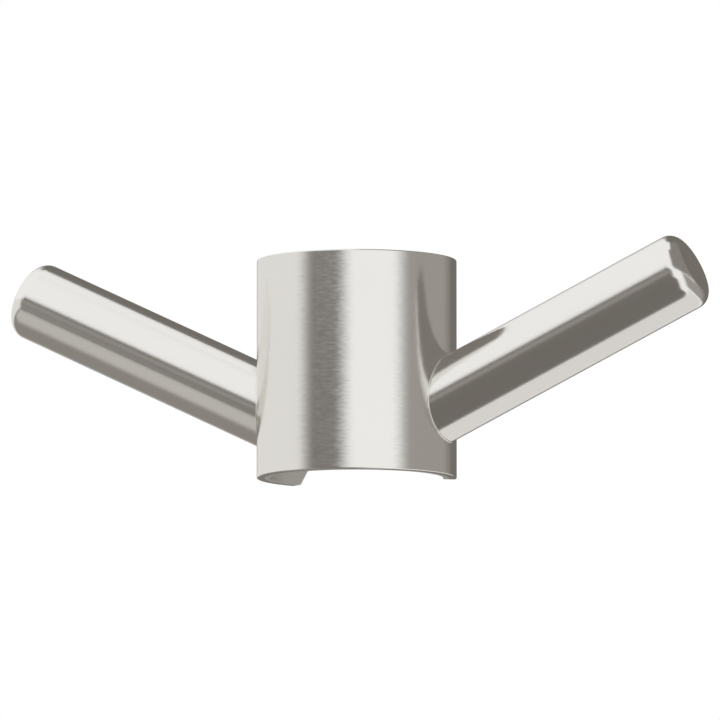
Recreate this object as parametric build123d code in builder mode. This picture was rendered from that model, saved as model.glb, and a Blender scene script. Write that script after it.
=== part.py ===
from build123d import *
import os
from math import cos, radians, sin

# A double hook for a vertical rail: a short sleeve with an open back goes round the rail, and two
# round pegs rise from its sides. Sizes are in millimetres. The origin is on the axis of the sleeve
# in the plane of its bottom rim. +Z runs up the rail, +X points to the right peg and +Y to the wall
# behind the rail, so that the open back of the sleeve faces +Y.

# The sleeve
rail_diameter = 32.0
rail_clearance = 0.5
sleeve_wall = 2.5
sleeve_height = 41.6
outer_edge_round = 0.2

# The open back: each side wraps round the rail past the plane of the pegs and ends in a lip whose
# corners are bevelled at both ends of the sleeve
lip_wrap_angle = 34.5
lip_bevel_height = 3.0
lip_bevel_width = 1.9
lip_corner_round = 0.5

# The pegs
peg_diameter = 15.0
peg_rise_angle = 25.2
peg_reach = 75.3
peg_crossing_height = 5.6
peg_end_round = 2.8

# Worked out from the sizes above
bore_radius = rail_diameter / 2 + rail_clearance
sleeve_radius = bore_radius + sleeve_wall
mouth_half_angle = 90 - lip_wrap_angle
peg_radius = peg_diameter / 2


def from_the_back(angle, radius):
    """A point at this radius from the rail's axis, at this angle from the middle of the open back."""
    return radius * sin(radians(angle)), radius * cos(radians(angle))


# The sleeve is a ring with a sector left out at the back. Its lips end in radial faces.
with BuildPart() as rail_sleeve:
    with BuildSketch(Plane.XY):
        with BuildLine():
            inner_arc = ThreePointArc(
                from_the_back(-mouth_half_angle, bore_radius),
                (0, -bore_radius),
                from_the_back(mouth_half_angle, bore_radius),
            )
            outer_arc = ThreePointArc(
                from_the_back(-mouth_half_angle, sleeve_radius),
                (0, -sleeve_radius),
                from_the_back(mouth_half_angle, sleeve_radius),
            )
            Line(inner_arc @ 0, outer_arc @ 0)
            Line(inner_arc @ 1, outer_arc @ 1)
        make_face()
    extrude(amount=sleeve_height)

    # The corners of each lip are bevelled, and each bevel runs round into the rim and the lip
    for lip_face in rail_sleeve.faces().filter_by(GeomType.PLANE).filter_by(Axis.Z, reverse=True):
        lip_corners = lip_face.edges().filter_by(Axis.Z, reverse=True)
        chamfer(lip_corners, length=lip_bevel_height, length2=lip_bevel_width, reference=lip_face)
    bevel_edges = rail_sleeve.edges().filter_by(GeomType.LINE).filter_by(Axis.Z, reverse=True)
    fillet(bevel_edges, radius=lip_corner_round)

    # The edges of the rims and lips are rounded on the outside and crisp on the rail's side
    outer_face = rail_sleeve.faces().filter_by(GeomType.CYLINDER).sort_by(SortBy.AREA)[-1]
    fillet(outer_face.edges(), radius=outer_edge_round)

rail_sleeve.part.label = "rail_sleeve"


def peg(side, name):
    """A round bar that starts on the rail's axis and is coped to the outside of the sleeve."""
    rise = radians(peg_rise_angle)
    bar_axis = Axis((0, 0, peg_crossing_height), (side * cos(rise), 0, sin(rise)))
    with BuildPart() as bar:
        with BuildSketch(Plane(bar_axis.position, z_dir=bar_axis.direction)):
            Circle(peg_radius)
        extrude(amount=peg_reach)
        end_face = bar.faces().sort_by(bar_axis)[-1]
        fillet(end_face.edges(), radius=peg_end_round)
        with BuildSketch(Plane.XY.offset(-peg_diameter)):
            Circle(sleeve_radius)
        extrude(amount=peg_diameter + sleeve_height, mode=Mode.SUBTRACT)
    bar.part.label = name
    return bar.part


left_peg = peg(-1, "left_peg")
right_peg = peg(1, "right_peg")

os.makedirs("parts", exist_ok=True)
for piece in (rail_sleeve.part, left_peg, right_peg):
    export_step(piece, f"parts/{piece.label}.step")
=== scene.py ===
"""A satin metal double hook for a vertical rail, as a product photograph shows it.

Everything is in metres. The origin is on the sleeve's axis, in the plane of its bottom rim.
"""

from math import atan, cos, pi, radians, sin, sqrt

import bmesh
import bpy
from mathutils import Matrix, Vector


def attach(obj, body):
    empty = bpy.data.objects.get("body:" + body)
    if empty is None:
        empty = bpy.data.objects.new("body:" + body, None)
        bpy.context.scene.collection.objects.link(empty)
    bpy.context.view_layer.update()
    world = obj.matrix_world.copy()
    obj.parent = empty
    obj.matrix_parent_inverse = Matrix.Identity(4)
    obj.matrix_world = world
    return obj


# The camera looks up at the hook from a little below it, from far away
view_azimuth = 21.6
view_elevation = -6.4
camera_distance = 2.233
camera_reach = 20
picture_centre = Vector((0.00067, 0, 0.0226))
picture_width = 0.13686

# The metal, how its shade varies in soft patches, and the tint that it takes where it is seen edge on
metal_colour = (0.82, 0.81, 0.785)
grazing_colour = (0.95, 0.94, 0.92)
shade_patch_size = 0.02
shade_range = (0.98, 1.02)

# Fine polishing marks run round the rail's axis. Each one tilts the surface a little, first sideways and
# then upwards, and the marks also vary the roughness.
sleeve_finish = {
    "roughness": 0.14,
    "mark_length": 0.0014,
    "mark_width": 0.0003,
    "mark_tilts": (0.06, 0.009),
}
peg_finish = {
    "roughness": 0.165,
    "mark_length": 0.0008,
    "mark_width": 0.0004,
    "mark_tilts": (0.02, 0.02),
}
roughness_spread = 0.02
mark_limits = (0.3, 0.7)
noise_detail = 2.0

# The inside of the sleeve is less polished
inside_radius = 0.0175
inside_roughness = 0.45

# A fine line of weld follows the root of each peg, where its round meets the round of the sleeve
sleeve_radius = 0.019
peg_radius = 0.0075
peg_rise_angle = 25.2
peg_crossing_height = 0.0056
weld_radius = 0.0002
weld_points = 120

# The studio is white all round. Grey flags stand in front of the white, beyond the floor's corners, and
# the metal mirrors them as bands. The angles here are in degrees.
flag_distance = 10.0
flag_softness_across = 25
flag_softness_up = 4
flag_warmth = 0.1
screen_columns = 48
screen_rows = 24
floor_height = -0.7
floor_half_size = 6
floor_colour = (0.9, 0.9, 0.9)

# Each flag has its first and last azimuth, its lowest and highest elevation and its grey. Azimuths count
# from the camera's side, with positive ones to the right of the picture. Later flags stand in front.
flags = {
    "wall on the left": ((-190, -40), (-20, 15), 0.85),
    "ground on the left": ((-190, -40), (-90, -14), 0.28),
    "light patch on the left": ((-100, -50), (-50, -20), 0.55),
    "light ground behind": ((60, 180), (-90, -25), 0.8),
    "ground in front": ((-62, -15), (-20, 10), 0.17),
    "strip in front": ((-65, -20), (-7, 3), 0.3),
    "ground below": ((-50, 10), (-90, -15), 0.17),
    "ground far below": ((-50, 50), (-90, -50), 0.17),
    "side on the right": ((53, 140), (-20, 20), 0.35),
    "side behind on the right": ((130, 190), (-15, 70), 0.18),
    "high side on the right": ((0, 140), (22, 78), 0.25),
}


class Nodes:
    """Adds nodes to a node tree, with each input given as a number, a colour or another node's output."""

    def __init__(self, tree):
        self.tree = tree
        tree.nodes.clear()

    def add(self, kind, inputs=(), **settings):
        node = self.tree.nodes.new(kind)
        for name, value in settings.items():
            setattr(node, name, value)
        for name, value in dict(inputs).items():
            if isinstance(value, bpy.types.NodeSocket):
                self.tree.links.new(value, node.inputs[name])
            else:
                node.inputs[name].default_value = value
        return node

    def math(self, operation, *values):
        return self.add("ShaderNodeMath", enumerate(values), operation=operation).outputs[0]

    def vector(self, operation, *values):
        node = self.add("ShaderNodeVectorMath", enumerate(values), operation=operation)
        return node.outputs["Vector"]

    def ramp(self, value, start, end, low=0.0, high=1.0):
        inputs = {"Value": value, "From Min": start, "From Max": end, "To Min": low, "To Max": high}
        return self.add("ShaderNodeMapRange", inputs, interpolation_type="SMOOTHSTEP").outputs[0]

    def blend(self, share, first, second):
        """The first number where the share is 0 and the second where it is 1."""
        inputs = {0: share, 2: first, 3: second}
        return self.add("ShaderNodeMix", inputs, data_type="FLOAT").outputs[0]

    def mix(self, share, first, second):
        """The first colour where the share is 0 and the second where it is 1."""
        inputs = {0: share, 6: first, 7: second}
        return self.add("ShaderNodeMix", inputs, data_type="RGBA").outputs[2]

    def noise(self, place, scale):
        inputs = {"Vector": place, "Scale": scale, "Detail": noise_detail}
        return self.add("ShaderNodeTexNoise", inputs).outputs

    def split(self, place):
        return self.add("ShaderNodeSeparateXYZ", {0: place}).outputs

    def turn_from_front(self, x, y):
        """The angle about the Z axis in radians, from -Y towards +X."""
        return self.math("ARCTAN2", x, self.math("MULTIPLY", y, -1.0))

    def surface(self, shader):
        self.add("ShaderNodeOutputMaterial", {"Surface": shader.outputs[0]})


def colour(rgb, share=1.0):
    return (*(channel * share for channel in rgb), 1)


def new_object(name, data):
    thing = bpy.data.objects.new(name, data)
    bpy.context.scene.collection.objects.link(thing)
    return thing


def new_material(name):
    material = bpy.data.materials.new(name)
    material.use_nodes = True
    return material, Nodes(material.node_tree)


def between(nodes, angle, limits, softness):
    """1 between the two limits and 0 outside, with a soft edge centred on each limit."""
    first, last = limits
    half = (last - first) / 2
    soft = softness / 2
    middle = nodes.math("SUBTRACT", angle, (first + last) / 2)
    offset = nodes.math("ABSOLUTE", nodes.math("WRAP", middle, 180.0, -180.0))
    return nodes.ramp(offset, half - soft, half + soft, 1.0, 0.0)


def flag_colour(grey):
    """The darker a flag is, the warmer."""
    warmth = flag_warmth * (1 - grey)
    return colour((1 + warmth, 1, 1 - warmth), grey)


def build_studio():
    world = bpy.data.worlds.new("studio")
    world.use_nodes = True
    bpy.context.scene.world = world
    nodes = Nodes(world.node_tree)
    white = nodes.add("ShaderNodeBackground", {"Color": (1, 1, 1, 1), "Strength": 1.0})
    nodes.add("ShaderNodeOutputWorld", {"Surface": white.outputs[0]})


def build_flags():
    """The flags, on one round screen that is clear between them, so that the metal mirrors the white there."""
    mesh = bpy.data.meshes.new("flags")
    ball = bmesh.new()
    bmesh.ops.create_uvsphere(ball, u_segments=screen_columns, v_segments=screen_rows, radius=flag_distance)
    ball.to_mesh(mesh)
    ball.free()
    screen = new_object("flags", mesh)
    screen.rotation_euler.z = radians(view_azimuth)
    screen.visible_camera = False
    material, nodes = new_material("flags")
    place = nodes.add("ShaderNodeTexCoord").outputs["Object"]
    x, y, z = nodes.split(nodes.vector("NORMALIZE", place))
    azimuth = nodes.math("DEGREES", nodes.turn_from_front(x, y))
    elevation = nodes.math("DEGREES", nodes.math("ARCSINE", z))
    clear, shown = 1.0, (0, 0, 0, 1)
    for azimuths, elevations, grey in flags.values():
        across = between(nodes, azimuth, azimuths, flag_softness_across)
        up = between(nodes, elevation, elevations, flag_softness_up)
        cover = nodes.math("MULTIPLY", across, up)
        clear = nodes.blend(cover, clear, 0.0)
        shown = nodes.mix(cover, shown, flag_colour(grey))
    glow = nodes.add("ShaderNodeEmission", {"Color": shown})
    gap = nodes.add("ShaderNodeBsdfTransparent", {"Color": clear})
    nodes.surface(nodes.add("ShaderNodeAddShader", {0: glow.outputs[0], 1: gap.outputs[0]}))
    mesh.materials.append(material)


def build_floor():
    """A pale floor far below the hook, which can be looked through from underneath."""
    mesh = bpy.data.meshes.new("floor")
    corners = [(-1, -1), (1, -1), (1, 1), (-1, 1)]
    points = [(x * floor_half_size, y * floor_half_size, floor_height) for x, y in corners]
    mesh.from_pydata(points, [], [(0, 1, 2, 3)])
    floor = new_object("floor", mesh)
    floor.visible_glossy = False
    material, nodes = new_material("floor")
    pale = nodes.add("ShaderNodeBsdfDiffuse", {"Color": colour(floor_colour)})
    clear = nodes.add("ShaderNodeBsdfTransparent")
    below = nodes.add("ShaderNodeNewGeometry").outputs["Backfacing"]
    nodes.surface(nodes.add("ShaderNodeMixShader", {0: below, 1: pale.outputs[0], 2: clear.outputs[0]}))
    mesh.materials.append(material)


def build_camera():
    azimuth = radians(view_azimuth)
    elevation = radians(view_elevation)
    back = Vector((sin(azimuth) * cos(elevation), -cos(azimuth) * cos(elevation), sin(elevation)))
    data = bpy.data.cameras.new("camera")
    data.angle = 2 * atan(picture_width / 2 / camera_distance)
    data.clip_end = camera_reach
    camera = new_object("camera", data)
    camera.location = picture_centre + back * camera_distance
    camera.rotation_euler = back.to_track_quat("Z", "Y").to_euler()
    bpy.context.scene.camera = camera


def satin_metal(name, roughness, mark_length, mark_width, mark_tilts):
    material, nodes = new_material(name)
    place = nodes.add("ShaderNodeTexCoord").outputs["Object"]
    x, y, z = nodes.split(place)
    radius = nodes.math("ADD", nodes.math("MULTIPLY", x, x), nodes.math("MULTIPLY", y, y))
    radius = nodes.math("SQRT", radius)

    # The marks are noise in which one unit is a mark's length round the axis, and its width across
    round_axis = nodes.math("MULTIPLY", nodes.turn_from_front(x, y), radius)
    grid = {
        0: nodes.math("DIVIDE", round_axis, mark_length),
        1: nodes.math("DIVIDE", radius, mark_width),
        2: nodes.math("DIVIDE", z, mark_width),
    }
    marks = nodes.noise(nodes.add("ShaderNodeCombineXYZ", grid).outputs[0], 1.0)
    sideways, upwards = mark_tilts
    tilt = nodes.vector("SUBTRACT", marks["Color"], (0.5, 0.5, 0.5))
    tilt = nodes.vector("MULTIPLY", tilt, (sideways, sideways, upwards))
    normal = nodes.add("ShaderNodeNewGeometry").outputs["Normal"]
    tilted = nodes.vector("NORMALIZE", nodes.vector("ADD", normal, tilt))

    lowest, highest = roughness - roughness_spread, roughness + roughness_spread
    dull = nodes.ramp(marks["Fac"], *mark_limits, lowest, highest)
    dull = nodes.blend(nodes.math("LESS_THAN", radius, inside_radius), dull, inside_roughness)
    patches = nodes.noise(place, 1 / shade_patch_size)
    darker, lighter = (colour(metal_colour, share) for share in shade_range)
    look = {
        "Base Color": nodes.mix(patches["Fac"], darker, lighter),
        "Metallic": 1.0,
        "Roughness": dull,
        "Specular Tint": colour(grazing_colour),
        "Normal": tilted,
    }
    nodes.surface(nodes.add("ShaderNodeBsdfPrincipled", look))
    return material


def build_weld(name, side, metal):
    """A thin round bead along the curve in which the peg on this side meets the sleeve."""
    rise = radians(peg_rise_angle)
    curve = bpy.data.curves.new(name, "CURVE")
    curve.dimensions = "3D"
    curve.bevel_depth = weld_radius
    spline = curve.splines.new("POLY")
    spline.points.add(weld_points - 1)
    spline.use_cyclic_u = True
    for index, point in enumerate(spline.points):
        turn = 2 * pi * index / weld_points
        y, up = peg_radius * cos(turn), peg_radius * sin(turn)
        out = sqrt(sleeve_radius**2 - y**2)
        reach = (out + up * sin(rise)) / cos(rise)
        point.co = (side * out, y, peg_crossing_height + reach * sin(rise) + up * cos(rise), 1)
    curve.materials.append(metal)
    weld = new_object(name, curve)
    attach(weld, "root")


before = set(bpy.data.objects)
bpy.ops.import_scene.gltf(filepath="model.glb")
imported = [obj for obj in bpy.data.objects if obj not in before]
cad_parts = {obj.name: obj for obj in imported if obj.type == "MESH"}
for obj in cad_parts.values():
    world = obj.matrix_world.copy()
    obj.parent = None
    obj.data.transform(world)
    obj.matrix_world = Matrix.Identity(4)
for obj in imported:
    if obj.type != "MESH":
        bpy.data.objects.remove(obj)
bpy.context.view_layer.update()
bpy.context.scene.view_settings.view_transform = "Standard"
build_camera()
build_studio()
build_flags()
build_floor()

sleeve_metal = satin_metal("satin_sleeve", **sleeve_finish)
peg_metal = satin_metal("satin_peg", **peg_finish)
metals = {"rail_sleeve": sleeve_metal, "left_peg": peg_metal, "right_peg": peg_metal}
for name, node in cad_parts.items():
    node.data.materials.clear()
    node.data.materials.append(metals[name])
build_weld("left_weld", -1, peg_metal)
build_weld("right_weld", 1, peg_metal)
